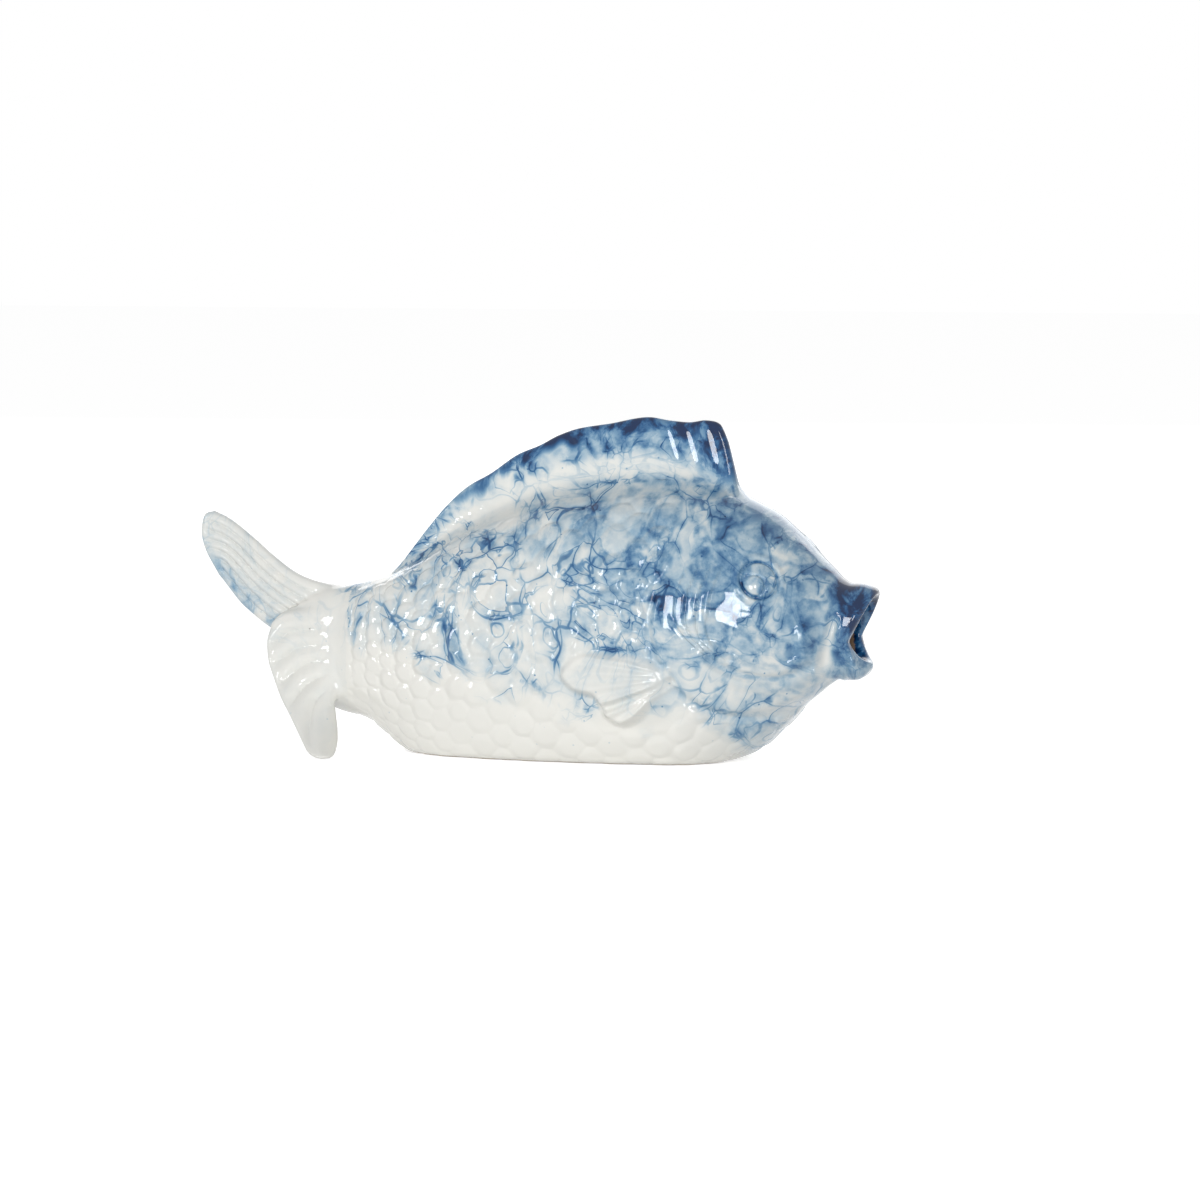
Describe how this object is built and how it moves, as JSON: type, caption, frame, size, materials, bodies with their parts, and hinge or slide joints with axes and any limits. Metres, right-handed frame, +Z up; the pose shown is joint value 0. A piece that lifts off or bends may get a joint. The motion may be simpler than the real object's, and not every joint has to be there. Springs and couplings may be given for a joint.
{
  "type": "fish figurine",
  "caption": "Hollow glazed ceramic fish ornament with open mouth, ribbed back fin, split tail and flat foot, made as the clay pieces it is luted together from.",
  "frame": {"origin": "on the flat foot, on the centre plane of the body, under the middle of the back", "axes": "+X to the mouth, +Y to the fish's left flank, +Z up from the foot"},
  "size_m": [0.2679, 0.0924, 0.1269],
  "materials": {
    "body_glaze": "glossy off-white glaze with blue soap-bubble rings",
    "fin_glaze": "glossy off-white glaze with dense blue bubble rings",
    "rim_glaze": "glossy deep blue glaze",
    "foot_clay": "wiped, nearly bare fired clay"
  },
  "bodies": {
    "root": {"body_right_shell": "body_glaze", "body_left_shell": "body_glaze", "base_slab": "foot_clay", "mouth_rim": "rim_glaze", "dorsal_fin": "fin_glaze", "tail_upper_lobe": "fin_glaze", "tail_lower_lobe": "fin_glaze", "pectoral_fin_right": "body_glaze", "pectoral_fin_left": "body_glaze", "eye_right": "body_glaze", "eye_left": "body_glaze"}
  },
  "joints": []
}
